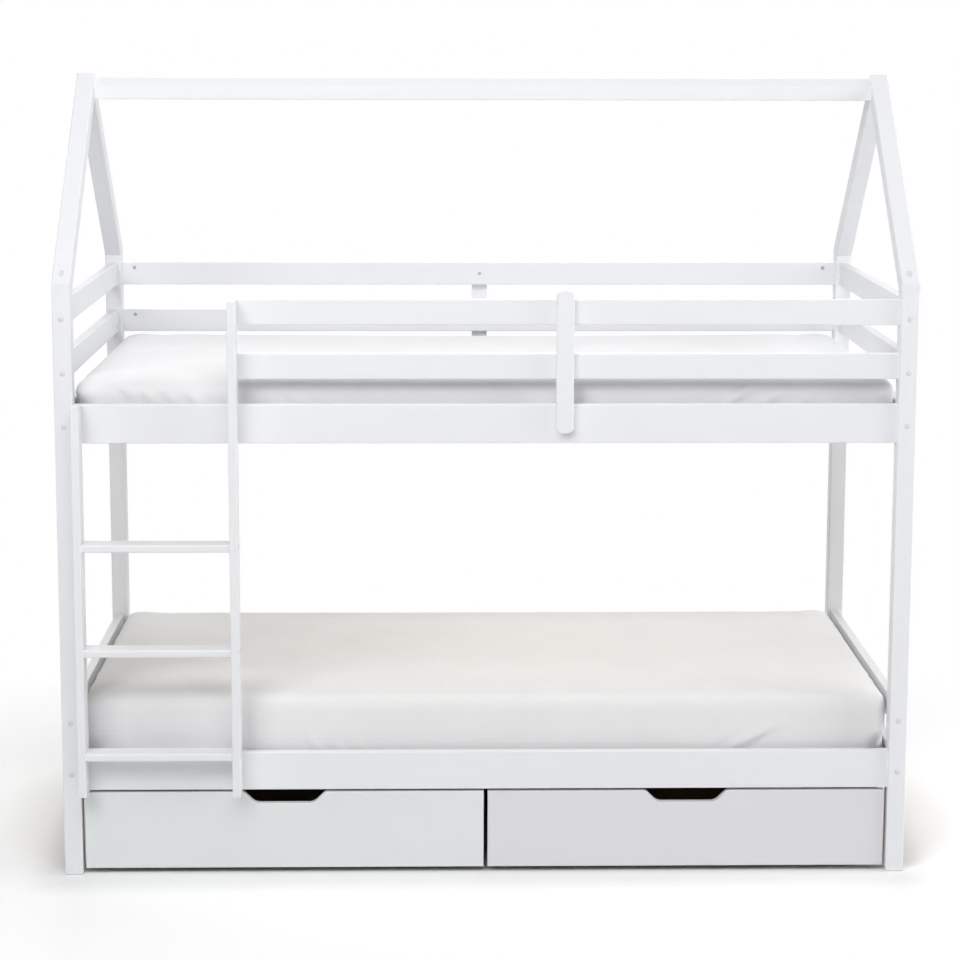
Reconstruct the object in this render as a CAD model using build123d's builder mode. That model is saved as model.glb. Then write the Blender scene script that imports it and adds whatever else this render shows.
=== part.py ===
"""House-shaped bunk bed: two beds in one roofed frame, a fixed ladder and two drawers on castors.

Millimetres, +Z up. X runs along the bed, and the ladder and the drawer fronts face -Y.
The origin is on the floor, under the middle of the bed's outline.
"""

import os
from collections import namedtuple
from math import cos, radians, tan

from build123d import *

os.makedirs("parts", exist_ok=True)

# Mattresses, which the whole bed is built round
mattress_length = 2000
mattress_width = 900
lower_mattress_thickness = 200
upper_mattress_thickness = 120
mattress_play = 7  # to the boards on every side
mattress_corner = 36  # rounding in plan, at the top
mattress_foot_corner = 120  # rounding in plan at the bottom, where the sheet's elastic gathers the corners
mattress_corner_rise = 0.45  # share of the thickness over which a corner fills out
mattress_edge = 34  # softness of the top edge
mattress_foot = 16  # softness of the bottom edge
mattress_crown = 9  # rise of the middle over the edge
mattress_draw = 5  # how far a side pulls in between its corners

# Timber sections
post_width = 44
post_rounding = 3
foot_rounding = 4.5
joint_chamfer = 0.8  # breaks the edges where two posts, or a post and a rafter, meet
board_thickness = 22
board_rounding = 2.5
rail_height = 95
guard_height = 62

# Heights and gaps
lower_rail_z = 214
lower_post_height = 728
upper_rail_z = 1081
lower_guard_gap = 63  # from the lower end rail up to the lower end guard
mattress_gap = 62  # from the upper rails up to the first guard
guard_gap = 69  # between the two upper guards
post_above_guard = 21

# Roof
roof_pitch = 45
ridge_side_height = 34
ridge_drop = 10  # the beam's peak below the rafters' apex

# Battens that tie the upper guards to the side rail
batten_width = 42
batten_thickness = 20
batten_end_rounding = 15
front_batten_x = 188
rear_batten_x = 0
batten_start = 27  # above the underside of the upper rail
front_batten_overshoot = 23  # above the top guard
rear_batten_undershoot = 6  # below the top guard

# Ladder
ladder_width = 396
stile_thickness = 20
stile_depth = 60
rung_thickness = 19
rung_depth = 55
rung_rounding = 4
rung_count = 3
first_rung_top = 323
rung_pitch = 260

# Slats and the ledgers that they lie on
slat_count = 14
slat_width = 70
slat_thickness = 15
slat_rounding = 3
slat_play = 3  # from a slat's end to the side rail
slat_margin = 40  # from the end rail to the first slat
ledger_size = 18
ledger_rise = 2  # above the underside of the side rail
ledger_play = 6  # from a ledger's end to the post

# Drawers
drawer_depth = 640
drawer_front_thickness = 16
drawer_floor_gap = 14
drawer_top_gap = 6
drawer_post_gap = 7
drawer_middle_gap = 10
drawer_front_rounding = 1.2
drawer_wall = 15
drawer_wall_height = 150
drawer_wall_inset = 2  # from the end of the front
drawer_panel = 10
notch_top_width = 202  # between the sharp corners, before they are rounded
notch_bottom_width = 144
notch_depth = 29
notch_shoulder = 14
notch_corner = 28

# Castors under the drawers
wheel_radius = 18
wheel_half_width = 8
wheel_rounding = 2
hub_radius = 7
hub_half_width = 9
web_radius = 13
web_half_width = 3
castor_height = 40
pin_radius = 2.5
pin_head_radius = 4
pin_head_height = 1.5
running_clearance = 0.05  # round the castor pin
fork_clearance = 1  # from the hub to the fork's cheek
fork_sheet = 2
fork_length = 54
fork_cheek_radius = 7
castor_inset = 42  # from the drawer's wall
castor_end = 70  # from the front and from the rear of the box

# Bolts, nuts, caps, dowels and screws
bolt_radius = 3
bolt_head_radius = 6
bolt_head_height = 5
bolt_sink = 3  # from the wood's face to the top of the head
nut_radius = 5
nut_length = 16
nut_distance = 35  # from the end of the board
nut_slot_width = 1.4
nut_slot_depth = 1.6
thread_past_nut = 3
roof_bolt_sink = 12  # from the slope over the post's middle down to the bolt's zero
roof_bolt_reach = 57
ridge_bolt_spacing = 22
ridge_bolt_rise = 18  # above the underside of the beam
cap_lid_radius = 7
cap_lid_height = 1.5
cap_play = 0.2
bore_clearance = 0.3
nut_clearance = 0.2
thread_clearance = 0.1
end_clearance = 0.5
dowel_radius = 4
dowel_length = 30
peg_radius = 6
peg_length = 80
dowel_clearance = 0.1
side_rail_bolt_spacing = 50
stile_screw_spacing = 25  # where a stile crosses a side rail
guard_fixing_offset = 16  # bolt and dowel above and below a guard's middle
end_rail_dowel_spacing = 60
end_rail_bolt_drop = 5
frame_screw = (2.5, 55, 5)  # shank radius, length, head radius
batten_screw = (2.25, 38, 4.5)
slat_screw = (1.75, 26, 3.5)
ledger_screw = (1.75, 32, 3.5)
wall_screw = (1.75, 38, 3.5)
plate_screw = (1.75, 8.5, 3.5)
cam_radius = 7.5
cam_thickness = 11
cam_distance = 24  # from the front end of the drawer's wall
cam_bolt_depth = 10  # into the drawer's front
cam_spacing = 90
panel_screw_shares = (0.15, 0.5, 0.85)  # places of the panel's screws along each edge of the box
outside = 30  # how far a boring tool stands out of the wood

# Places that follow from the sizes above; y is measured from middle_y
post_x = mattress_length / 2 + mattress_play + board_thickness / 2
post_y = mattress_width / 2 + mattress_play + board_thickness / 2
half_post = post_width / 2
inner_post_x = post_x - half_post
inner_post_y = post_y - half_post
outer_post_x = post_x + half_post
outer_post_y = post_y + half_post
rail_inner_x = post_x - board_thickness / 2
rail_inner_y = post_y - board_thickness / 2
rail_outer_y = post_y + board_thickness / 2
front_reach = max(rail_outer_y + stile_depth, outer_post_y + cap_lid_height)
rear_reach = max(rail_outer_y + batten_thickness, outer_post_y + cap_lid_height)
middle_y = (front_reach - rear_reach) / 2

lower_guard_z = lower_rail_z + rail_height + lower_guard_gap
first_guard_z = upper_rail_z + rail_height + mattress_gap
second_guard_z = first_guard_z + guard_height + guard_gap
guard_top = second_guard_z + guard_height
post_top = guard_top + post_above_guard

pitch = radians(roof_pitch)
rafter_drop = post_width / cos(pitch)  # upright thickness of a rafter
apex_z = post_top + rafter_drop + inner_post_y * tan(pitch)
nose_z = apex_z - outer_post_y * tan(pitch)
ridge_peak = apex_z - ridge_drop
ridge_z = ridge_peak - half_post * tan(pitch) - ridge_side_height

ladder_left = -inner_post_x
ladder_right = ladder_left + ladder_width
left_stile_x = ladder_left + stile_thickness / 2
right_stile_x = ladder_right - stile_thickness / 2
stile_y = -(rail_outer_y + stile_depth / 2)

slat_rise = ledger_rise + ledger_size  # from the rail's underside to the slats' underside
slat_pitch = (2 * (rail_inner_x - slat_margin) - slat_width) / (slat_count - 1)
slat_xs = [(i - (slat_count - 1) / 2) * slat_pitch for i in range(slat_count)]
ledger_y = rail_inner_y - ledger_size / 2

bolt_reach = post_width + nut_distance + nut_radius + thread_past_nut

# A board of the frame: the axis that it runs along, its underside, its height, and the heights of
# its bolts and dowels from its middle line
Board = namedtuple("Board", "run z height bolts dowels")

side_rail_fixings = ((-side_rail_bolt_spacing / 2, side_rail_bolt_spacing / 2), (0,))
end_rail_fixings = ((-end_rail_bolt_drop,), (-end_rail_dowel_spacing / 2, end_rail_dowel_spacing / 2))
side_guard_fixings = ((guard_fixing_offset,), (-guard_fixing_offset,))
end_guard_fixings = ((-guard_fixing_offset,), (guard_fixing_offset,))

lower_side_board = Board("x", lower_rail_z, rail_height, *side_rail_fixings)
upper_side_board = Board("x", upper_rail_z, rail_height, *side_rail_fixings)
lower_end_board = Board("y", lower_rail_z, rail_height, *end_rail_fixings)
upper_end_board = Board("y", upper_rail_z, rail_height, *end_rail_fixings)
lower_end_guard_board = Board("y", lower_guard_z, guard_height, *end_guard_fixings)
first_end_guard_board = Board("y", first_guard_z, guard_height, *end_guard_fixings)
second_end_guard_board = Board("y", second_guard_z, guard_height, *end_guard_fixings)
first_side_guard_board = Board("x", first_guard_z, guard_height, *side_guard_fixings)
second_side_guard_board = Board("x", second_guard_z, guard_height, *side_guard_fixings)

end_boards = [
    lower_end_board,
    upper_end_board,
    lower_end_guard_board,
    first_end_guard_board,
    second_end_guard_board,
]
corners = [(-1, -1), (1, -1), (-1, 1), (1, 1)]


def boards_at(side_x, side_y):
    """The boards that meet the post of one corner; the front guards stop at the ladder."""
    boards = [lower_side_board, upper_side_board, *end_boards]
    if side_x > 0 or side_y > 0:
        boards += [first_side_guard_board, second_side_guard_board]
    return boards


def joint(board, side_x, side_y):
    """Places of the bolts, the nuts and the dowels that hold a board's end to its corner post."""
    along = Vector(-side_x, 0, 0) if board.run == "x" else Vector(0, -side_y, 0)
    inside = Vector(0, -side_y, 0) if board.run == "x" else Vector(-side_x, 0, 0)
    post = Vector(side_x * post_x, middle_y + side_y * post_y, board.z + board.height / 2)
    bolts = []
    nuts = []
    dowels = []
    for height in board.bolts:
        axis = post + Vector(0, 0, height)
        bolts.append(Plane(axis - along * half_post, z_dir=along).location)
        nut = axis + along * (half_post + nut_distance)
        nuts.append(Plane(nut, x_dir=along, z_dir=inside).location)
    for height in board.dowels:
        face = post + Vector(0, 0, height) + along * half_post
        dowels.append(Plane(face, z_dir=along).location)
    return bolts, nuts, dowels


def joints(boards, ends):
    """All bolts, nuts and dowels of some boards at some corners."""
    found = [joint(board, *end) for board in boards for end in ends]
    return [[place for group in found for place in group[kind]] for kind in range(3)]


def save(piece, label):
    """Names a finished piece and writes it."""
    piece.part.label = label
    export_step(piece.part, f"parts/{label}.step")


def turned(points):
    """A round fitting with its axis along Z, from the half outline given as (radius, height)."""
    with BuildPart() as fitting:
        with BuildSketch(Plane.XZ):
            with BuildLine():
                Polyline(*points, close=True)
            make_face()
        revolve(axis=Axis.Z)
    return fitting.part


def bolt_shape(reach):
    """A bolt whose zero is the wood's face and whose tip is at reach."""
    seat = bolt_sink + bolt_head_height
    return turned(
        [
            (0, bolt_sink),
            (bolt_head_radius, bolt_sink),
            (bolt_head_radius, seat),
            (bolt_radius, seat),
            (bolt_radius, reach),
            (0, reach),
        ]
    )


def bolt_bore_shape(reach):
    """The stepped hole of a bolt: a wide recess for head and cap, then the shank's bore."""
    recess = bolt_head_radius + bore_clearance
    bore = bolt_radius + bore_clearance
    seat = bolt_sink + bolt_head_height
    end = reach + end_clearance
    return turned([(0, -outside), (recess, -outside), (recess, seat), (bore, seat), (bore, end), (0, end)])


def screw_shape(size, clearance=0):
    """A countersunk screw with its flat head at zero; with a clearance, the hole that it sits in."""
    radius, length, head = size
    wide = head + clearance
    narrow = radius + clearance
    points = [(wide, 0), (narrow, wide - narrow), (narrow, length + clearance), (0, length + clearance)]
    start = [(0, -outside), (wide, -outside)] if clearance else [(0, 0)]
    return turned(start + points)


def bore(tool, places):
    """Takes the tool out of the piece that is being built, at each place."""
    if places:
        with Locations(*places):
            add(tool, mode=Mode.SUBTRACT)


def put(shape, places):
    """Adds a copy of a finished shape at each place."""
    with Locations(*places):
        add(shape)


def lay_board(run, start, end, side, z, thickness, height, rounding):
    """A board with rounded long edges, from start to end along its axis, centred on side."""
    middle = z + height / 2
    if run == "x":
        plane = Plane((start, side, middle), x_dir=(0, 1, 0), z_dir=(1, 0, 0))
    else:
        plane = Plane((side, start, middle), x_dir=(-1, 0, 0), z_dir=(0, 1, 0))
    with BuildSketch(plane) as section:
        RectangleRounded(thickness, height, rounding)
    extrude(section.sketch, amount=end - start)


# Shapes of the fittings and the tools for their holes
bolt = bolt_shape(bolt_reach)
bolt_bore = bolt_bore_shape(bolt_reach)
roof_bolt = bolt_shape(roof_bolt_reach)
roof_bolt_bore = bolt_bore_shape(roof_bolt_reach)

with BuildPart() as nut:
    Cylinder(nut_radius, nut_length)
    Cylinder(bolt_radius + thread_clearance, 3 * nut_radius, rotation=(0, 90, 0), mode=Mode.SUBTRACT)
    with Locations((0, 0, nut_length / 2)):
        Box(3 * nut_radius, nut_slot_width, 2 * nut_slot_depth, mode=Mode.SUBTRACT)

nut_bore_radius = nut_radius + nut_clearance
nut_bore_end = -nut_length / 2 - end_clearance
nut_bore = turned(
    [(0, nut_bore_end), (nut_bore_radius, nut_bore_end), (nut_bore_radius, outside), (0, outside)]
)

with BuildPart() as dowel:
    Cylinder(dowel_radius, dowel_length)

with BuildPart() as dowel_bore:
    Cylinder(dowel_radius + dowel_clearance, dowel_length + 2 * end_clearance)

with BuildPart() as peg:
    Cylinder(peg_radius, peg_length)

with BuildPart() as peg_bore:
    Cylinder(peg_radius + dowel_clearance, peg_length + 2 * end_clearance)

cap_radius = bolt_head_radius + bore_clearance - cap_play
cap_depth = bolt_sink - end_clearance
with BuildPart() as cap:
    with BuildSketch(Plane.XZ):
        with BuildLine():
            Polyline(
                (0, -cap_lid_height),
                (0, cap_depth),
                (cap_radius, cap_depth),
                (cap_radius, 0),
                (cap_lid_radius, 0),
            )
            RadiusArc(
                (cap_lid_radius, 0),
                (0, -cap_lid_height),
                (cap_lid_radius**2 + cap_lid_height**2) / (2 * cap_lid_height),
            )
        make_face()
    revolve(axis=Axis.Z)

# Vertical bolts through the rafters' feet, with plugs cut to the slope of the roof
slope_over_post = nose_z + half_post * tan(pitch)
roof_bolt_z = slope_over_post - roof_bolt_sink
roof_bolt_places = {
    (side_x, side_y): Plane(
        (side_x * post_x, middle_y + side_y * post_y, roof_bolt_z), z_dir=(0, 0, -1)
    ).location
    for side_x, side_y in corners
}
with BuildPart(Plane((0, -post_y, roof_bolt_z - cap_depth))) as front_roof_cap:
    Cylinder(cap_radius, 2 * outside, align=(Align.CENTER, Align.CENTER, Align.MIN))
    slope = Plane((0, -post_y, slope_over_post + cap_lid_height), x_dir=(1, 0, 0), z_dir=(0, -tan(pitch), 1))
    split(bisect_by=slope, keep=Keep.BOTTOM)

# Bolts along X that hold the ridge beam between the rafters
ridge_bolt_places = {}
ridge_nut_places = []
ridge_bolt_z = ridge_z + ridge_bolt_rise
for side_x, side_y in corners:
    ridge_bolt_y = middle_y + side_y * ridge_bolt_spacing / 2
    head = (side_x * outer_post_x, ridge_bolt_y, ridge_bolt_z)
    nut_centre = (side_x * (inner_post_x - nut_distance), ridge_bolt_y, ridge_bolt_z)
    ridge_bolt_places[side_x, side_y] = Plane(head, z_dir=(-side_x, 0, 0)).location
    ridge_nut_places.append(Plane(nut_centre, x_dir=(-side_x, 0, 0), z_dir=(0, 0, -1)).location)

# Posts: each corner is a lower and an upper post on a wooden peg, so the bed parts into two
corner_names = {(-1, -1): "front_left", (1, -1): "front_right", (-1, 1): "rear_left", (1, 1): "rear_right"}
peg_places = {
    (side_x, side_y): Location((side_x * post_x, middle_y + side_y * post_y, lower_post_height))
    for side_x, side_y in corners
}
for corner, corner_name in corner_names.items():
    side_x, side_y = corner
    centre = (side_x * post_x, middle_y + side_y * post_y)
    for level, base, top in (("lower", 0, lower_post_height), ("upper", lower_post_height, post_top)):
        boards = [board for board in boards_at(side_x, side_y) if base < board.z < top]
        bolts, _, dowels = joints(boards, [corner])
        with BuildPart() as post:
            with BuildSketch(Plane.XY.offset(base)):
                with Locations(centre):
                    Rectangle(post_width, post_width)
            extrude(amount=top - base)
            if level == "lower":
                fillet(post.faces().sort_by(Axis.Z)[0].edges(), foot_rounding)
            fillet(post.edges().filter_by(Axis.Z), post_rounding)
            chamfer(post.faces().sort_by(Axis.Z)[-1].edges(), joint_chamfer)
            if level == "upper":
                chamfer(post.faces().sort_by(Axis.Z)[0].edges(), joint_chamfer)
                bore(roof_bolt_bore, [roof_bolt_places[corner]])
            bore(bolt_bore, bolts)
            bore(dowel_bore.part, dowels)
            bore(peg_bore.part, [peg_places[corner]])
        save(post, f"{corner_name}_{level}_post")

# Rafters: square timber, cut level on the post and mitred at the apex
for corner, corner_name in corner_names.items():
    side_x, side_y = corner
    with BuildPart() as rafter:
        with BuildSketch(Plane.YZ.offset(side_x * post_x - half_post)):
            with BuildLine():
                Polyline(
                    (middle_y + side_y * outer_post_y, post_top),
                    (middle_y + side_y * outer_post_y, nose_z),
                    (middle_y, apex_z),
                    (middle_y, apex_z - rafter_drop),
                    (middle_y + side_y * inner_post_y, post_top),
                    close=True,
                )
            make_face()
        extrude(amount=post_width)
        long_edges = [
            edge
            for edge in rafter.edges()
            if abs(abs(edge.tangent_at(0.5).Y) - cos(pitch)) < 0.01 and abs(edge.tangent_at(0.5).X) < 0.01
        ]
        fillet(long_edges, post_rounding)
        foot_face = [face for face in rafter.faces().filter_by(Axis.Z) if abs(face.center().Z - post_top) < 1]
        chamfer(foot_face[0].edges(), joint_chamfer)
        bore(roof_bolt_bore, [roof_bolt_places[corner]])
        bore(bolt_bore, [ridge_bolt_places[corner]])
    save(rafter, f"{corner_name}_rafter")

# Ridge beam: its top has the slopes of the roof, and its nuts go in from underneath
with BuildPart() as ridge_beam:
    with BuildSketch(Plane.YZ.offset(-inner_post_x)):
        with BuildLine():
            Polyline(
                (middle_y - half_post, ridge_z),
                (middle_y - half_post, ridge_z + ridge_side_height),
                (middle_y, ridge_peak),
                (middle_y + half_post, ridge_z + ridge_side_height),
                (middle_y + half_post, ridge_z),
                close=True,
            )
        make_face()
    extrude(amount=2 * inner_post_x)
    fillet(ridge_beam.edges().filter_by(Axis.X), board_rounding)
    bore(bolt_bore, list(ridge_bolt_places.values()))
    bore(nut_bore, ridge_nut_places)
save(ridge_beam, "ridge_beam")

# Screws of the ladder and the battens, driven from inside the bed
stile_screw_places = {left_stile_x: [], right_stile_x: []}
for board in (lower_side_board, upper_side_board, first_side_guard_board, second_side_guard_board):
    is_rail = board in (lower_side_board, upper_side_board)
    offsets = (-stile_screw_spacing / 2, stile_screw_spacing / 2) if is_rail else (0,)
    for x, places in stile_screw_places.items():
        if is_rail or x == right_stile_x:
            for offset in offsets:
                head = (x, middle_y - rail_inner_y, board.z + board.height / 2 + offset)
                places.append(Plane(head, z_dir=(0, -1, 0)).location)

batten_screw_heights = [
    upper_rail_z + (rail_height + batten_start) / 2,
    first_guard_z + guard_height / 2,
    second_guard_z + guard_height / 2,
]
front_batten_screws = [
    Plane((front_batten_x, middle_y - rail_inner_y, height), z_dir=(0, -1, 0)).location
    for height in batten_screw_heights
]
rear_batten_screws = [
    Plane((rear_batten_x, middle_y + rail_inner_y, height), z_dir=(0, 1, 0)).location
    for height in batten_screw_heights
]
stile_screws = stile_screw_places[left_stile_x] + stile_screw_places[right_stile_x]
frame_screw_bore = screw_shape(frame_screw, bore_clearance)
batten_screw_bore = screw_shape(batten_screw, bore_clearance)

# Screws of the ledgers, halfway between slats, and of the slats
ledger_screw_xs = [x + slat_pitch / 2 for x in slat_xs[:-1:3]]
ledger_screws = []
slat_screws = []
for base in (lower_rail_z, upper_rail_z):
    ledger_middle = base + ledger_rise + ledger_size / 2
    slat_top = base + slat_rise + slat_thickness
    for side_y in (-1, 1):
        for x in ledger_screw_xs:
            head = (x, middle_y + side_y * (rail_inner_y - ledger_size), ledger_middle)
            ledger_screws.append(Plane(head, z_dir=(0, side_y, 0)).location)
        for x in slat_xs:
            head = (x, middle_y + side_y * ledger_y, slat_top)
            slat_screws.append(Plane(head, z_dir=(0, 0, -1)).location)
ledger_screw_bore = screw_shape(ledger_screw, bore_clearance)
slat_screw_bore = screw_shape(slat_screw, bore_clearance)

# Side rails, front and rear, of both beds
side_rails = {
    "lower_front_side_rail": (lower_side_board, -1),
    "lower_rear_side_rail": (lower_side_board, 1),
    "upper_front_side_rail": (upper_side_board, -1),
    "upper_rear_side_rail": (upper_side_board, 1),
}
for name, (board, side_y) in side_rails.items():
    bolts, nuts, dowels = joints([board], [(-1, side_y), (1, side_y)])
    near = [
        place
        for place in ledger_screws
        if board.z < place.position.Z < board.z + board.height and side_y * (place.position.Y - middle_y) > 0
    ]
    with BuildPart() as rail:
        lay_board(
            "x", -inner_post_x, inner_post_x, middle_y + side_y * post_y, board.z,
            board_thickness, board.height, board_rounding,
        )
        bore(bolt_bore, bolts)
        bore(nut_bore, nuts)
        bore(dowel_bore.part, dowels)
        bore(ledger_screw_bore, near)
        if side_y < 0:
            bore(frame_screw_bore, stile_screws)
        if board is upper_side_board:
            bore(batten_screw_bore, front_batten_screws if side_y < 0 else rear_batten_screws)
    save(rail, name)

# Guards along the upper bed: full length at the rear, from the ladder to the right post at the front
side_guards = {
    "front_lower_guard": (first_side_guard_board, -1),
    "front_upper_guard": (second_side_guard_board, -1),
    "rear_lower_guard": (first_side_guard_board, 1),
    "rear_upper_guard": (second_side_guard_board, 1),
}
for name, (board, side_y) in side_guards.items():
    is_front = side_y < 0
    start = ladder_right - stile_thickness if is_front else -inner_post_x
    ends = [(1, side_y)] if is_front else [(-1, side_y), (1, side_y)]
    bolts, nuts, dowels = joints([board], ends)
    with BuildPart() as guard:
        lay_board(
            "x", start, inner_post_x, middle_y + side_y * post_y, board.z, board_thickness, board.height,
            board_rounding,
        )
        bore(bolt_bore, bolts)
        bore(nut_bore, nuts)
        bore(dowel_bore.part, dowels)
        if is_front:
            bore(frame_screw_bore, stile_screw_places[right_stile_x])
        bore(batten_screw_bore, front_batten_screws if is_front else rear_batten_screws)
    save(guard, name)

# End rails and end guards, which run between the front and the rear posts
end_pieces = {
    "lower_left_end_rail": ([lower_end_board], (-1,)),
    "lower_right_end_rail": ([lower_end_board], (1,)),
    "upper_left_end_rail": ([upper_end_board], (-1,)),
    "upper_right_end_rail": ([upper_end_board], (1,)),
    "lower_end_guards": ([lower_end_guard_board], (-1, 1)),
    "upper_left_end_guards": ([first_end_guard_board, second_end_guard_board], (-1,)),
    "upper_right_end_guards": ([first_end_guard_board, second_end_guard_board], (1,)),
}
for name, (boards, sides) in end_pieces.items():
    bolts, nuts, dowels = joints(boards, [(side_x, side_y) for side_x in sides for side_y in (-1, 1)])
    with BuildPart() as end_piece:
        for board in boards:
            for side_x in sides:
                lay_board(
                    "y", middle_y - inner_post_y, middle_y + inner_post_y, side_x * post_x, board.z,
                    board_thickness, board.height, board_rounding,
                )
        bore(bolt_bore, bolts)
        bore(nut_bore, nuts)
        bore(dowel_bore.part, dowels)
    save(end_piece, name)

# Battens with rounded ends, outside the rails and guards that they tie together
battens = {
    "front_batten": (front_batten_x, -1, guard_top + front_batten_overshoot, front_batten_screws),
    "rear_batten": (rear_batten_x, 1, guard_top - rear_batten_undershoot, rear_batten_screws),
}
for name, (x, side_y, top, screws) in battens.items():
    bottom = upper_rail_z + batten_start
    with BuildPart() as batten:
        middle = (x, middle_y + side_y * rail_outer_y, (bottom + top) / 2)
        with BuildSketch(Plane(middle, x_dir=(1, 0, 0), z_dir=(0, -1, 0))):
            RectangleRounded(batten_width, top - bottom, batten_end_rounding)
        extrude(amount=-side_y * batten_thickness)
        outer_face = batten.faces().sort_by(Axis.Y)[0 if side_y < 0 else -1]
        fillet(outer_face.edges(), board_rounding)
        bore(batten_screw_bore, screws)
    save(batten, name)

# Ladder: two stiles standing in front of the rails, and rungs screwed between them
rung_tops = [first_rung_top + i * rung_pitch for i in range(rung_count)]
rung_screws = {left_stile_x: [], right_stile_x: []}
for x, places in rung_screws.items():
    inward = 1 if x == left_stile_x else -1
    for top in rung_tops:
        for side in (-1, 1):
            head = (
                x - inward * stile_thickness / 2,
                middle_y + stile_y + side * rung_depth / 4,
                top - rung_thickness / 2,
            )
            places.append(Plane(head, z_dir=(inward, 0, 0)).location)

stiles = {
    "ladder_left_stile": (left_stile_x, upper_rail_z + rail_height),
    "ladder_right_stile": (right_stile_x, guard_top),
}
for name, (x, top) in stiles.items():
    with BuildPart() as stile:
        with BuildSketch(Plane.XY.offset(lower_rail_z)):
            with Locations((x, middle_y + stile_y)):
                RectangleRounded(stile_thickness, stile_depth, board_rounding)
        extrude(amount=top - lower_rail_z)
        bore(frame_screw_bore, stile_screw_places[x] + rung_screws[x])
    save(stile, name)

with BuildPart() as ladder_rungs:
    for top in rung_tops:
        lay_board(
            "x", ladder_left + stile_thickness, ladder_right - stile_thickness, middle_y + stile_y,
            top - rung_thickness, rung_depth, rung_thickness, rung_rounding,
        )
    bore(frame_screw_bore, rung_screws[left_stile_x] + rung_screws[right_stile_x])
save(ladder_rungs, "ladder_rungs")

# Ledgers along the side rails, and the slats that rest on them
with BuildPart() as slat_ledgers:
    for base in (lower_rail_z, upper_rail_z):
        for side_y in (-1, 1):
            lay_board(
                "x", ledger_play - inner_post_x, inner_post_x - ledger_play, middle_y + side_y * ledger_y,
                base + ledger_rise, ledger_size, ledger_size, board_rounding,
            )
    bore(ledger_screw_bore, ledger_screws)
    bore(slat_screw_bore, slat_screws)
save(slat_ledgers, "slat_ledgers")

for name, base in (("lower_slats", lower_rail_z), ("upper_slats", upper_rail_z)):
    half_length = rail_inner_y - slat_play
    with BuildPart() as slats:
        for x in slat_xs:
            lay_board(
                "y", middle_y - half_length, middle_y + half_length, x, base + slat_rise, slat_width,
                slat_thickness, slat_rounding,
            )
        near = [place for place in slat_screws if base < place.position.Z < base + rail_height]
        bore(slat_screw_bore, near)
    save(slats, name)


def mattress_outline(z, inset, corner):
    """A mattress's outline at one height: rounded corners, and sides that pull in between them."""
    end = mattress_length / 2 - inset
    side = mattress_width / 2 - inset
    bend = corner * (1 - cos(radians(45)))
    with BuildSketch(Plane((0, middle_y, z))) as outline:
        with BuildLine():
            for turn_x, turn_y in ((1, 1), (-1, -1)):
                ThreePointArc(
                    (turn_x * end, -turn_y * (side - corner)),
                    (turn_x * (end - mattress_draw), 0),
                    (turn_x * end, turn_y * (side - corner)),
                )
                ThreePointArc(
                    (turn_x * end, turn_y * (side - corner)),
                    (turn_x * (end - bend), turn_y * (side - bend)),
                    (turn_x * (end - corner), turn_y * side),
                )
                ThreePointArc(
                    (turn_x * (end - corner), turn_y * side),
                    (0, turn_y * (side - mattress_draw)),
                    (-turn_x * (end - corner), turn_y * side),
                )
                ThreePointArc(
                    (-turn_x * (end - corner), turn_y * side),
                    (-turn_x * (end - bend), turn_y * (side - bend)),
                    (-turn_x * end, turn_y * (side - corner)),
                )
        make_face()
    return outline.sketch


# Mattresses in fitted sheets: flat underneath, soft edges, a crowned top. Each level of the loft is a
# height, how far the sides are drawn in there, and the rounding of the corners.
mattresses = {
    "lower_mattress": (lower_rail_z, lower_mattress_thickness),
    "upper_mattress": (upper_rail_z, upper_mattress_thickness),
}
for name, (base, thickness) in mattresses.items():
    bottom = base + slat_rise + slat_thickness
    shoulder = thickness - mattress_crown
    filled = thickness * mattress_corner_rise
    middle_corner = (mattress_corner + mattress_foot_corner) / 2
    top_corner = mattress_corner + mattress_edge
    levels = [
        (0, mattress_foot * 0.7, mattress_foot_corner),
        (mattress_foot * 0.4, mattress_foot * 0.2, mattress_foot_corner),
        (mattress_foot, 0, mattress_foot_corner),
        ((mattress_foot + filled) / 2, 0, middle_corner),
        (filled, 0, mattress_corner),
        (shoulder - mattress_edge, 0, mattress_corner),
        (shoulder - mattress_edge * 0.5, mattress_edge * 0.14, mattress_corner),
        (shoulder - mattress_edge * 0.13, mattress_edge * 0.5, mattress_corner),
        (shoulder, mattress_edge, mattress_corner),
        (shoulder + mattress_crown * 0.7, mattress_edge * 3, top_corner),
        (thickness, mattress_edge * 6, top_corner),
    ]
    with BuildPart() as mattress:
        loft(
            [mattress_outline(bottom + height, inset, corner) for height, inset, corner in levels],
            ruled=True,
        )
    save(mattress, name)

# Bolts, nuts, caps, dowels and screws of the frame
all_bolts = []
all_nuts = []
all_dowels = []
for corner in corners:
    bolts, nuts, dowels = joints(boards_at(*corner), [corner])
    all_bolts += bolts
    all_nuts += nuts
    all_dowels += dowels

with BuildPart() as connector_bolts:
    put(bolt, [*all_bolts, *ridge_bolt_places.values()])
    put(roof_bolt, roof_bolt_places.values())
save(connector_bolts, "connector_bolts")

with BuildPart() as barrel_nuts:
    put(nut.part, all_nuts + ridge_nut_places)
save(barrel_nuts, "barrel_nuts")

with BuildPart() as bolt_caps:
    put(cap.part, [*all_bolts, *ridge_bolt_places.values()])
    put(front_roof_cap.part, [Location((side_x * post_x, middle_y, 0)) for side_x in (-1, 1)])
    put(
        mirror(front_roof_cap.part, about=Plane.XZ, mode=Mode.PRIVATE),
        [Location((side_x * post_x, middle_y, 0)) for side_x in (-1, 1)],
    )
save(bolt_caps, "bolt_caps")

with BuildPart() as wooden_dowels:
    put(dowel.part, all_dowels)
    put(peg.part, peg_places.values())
save(wooden_dowels, "wooden_dowels")

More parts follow.
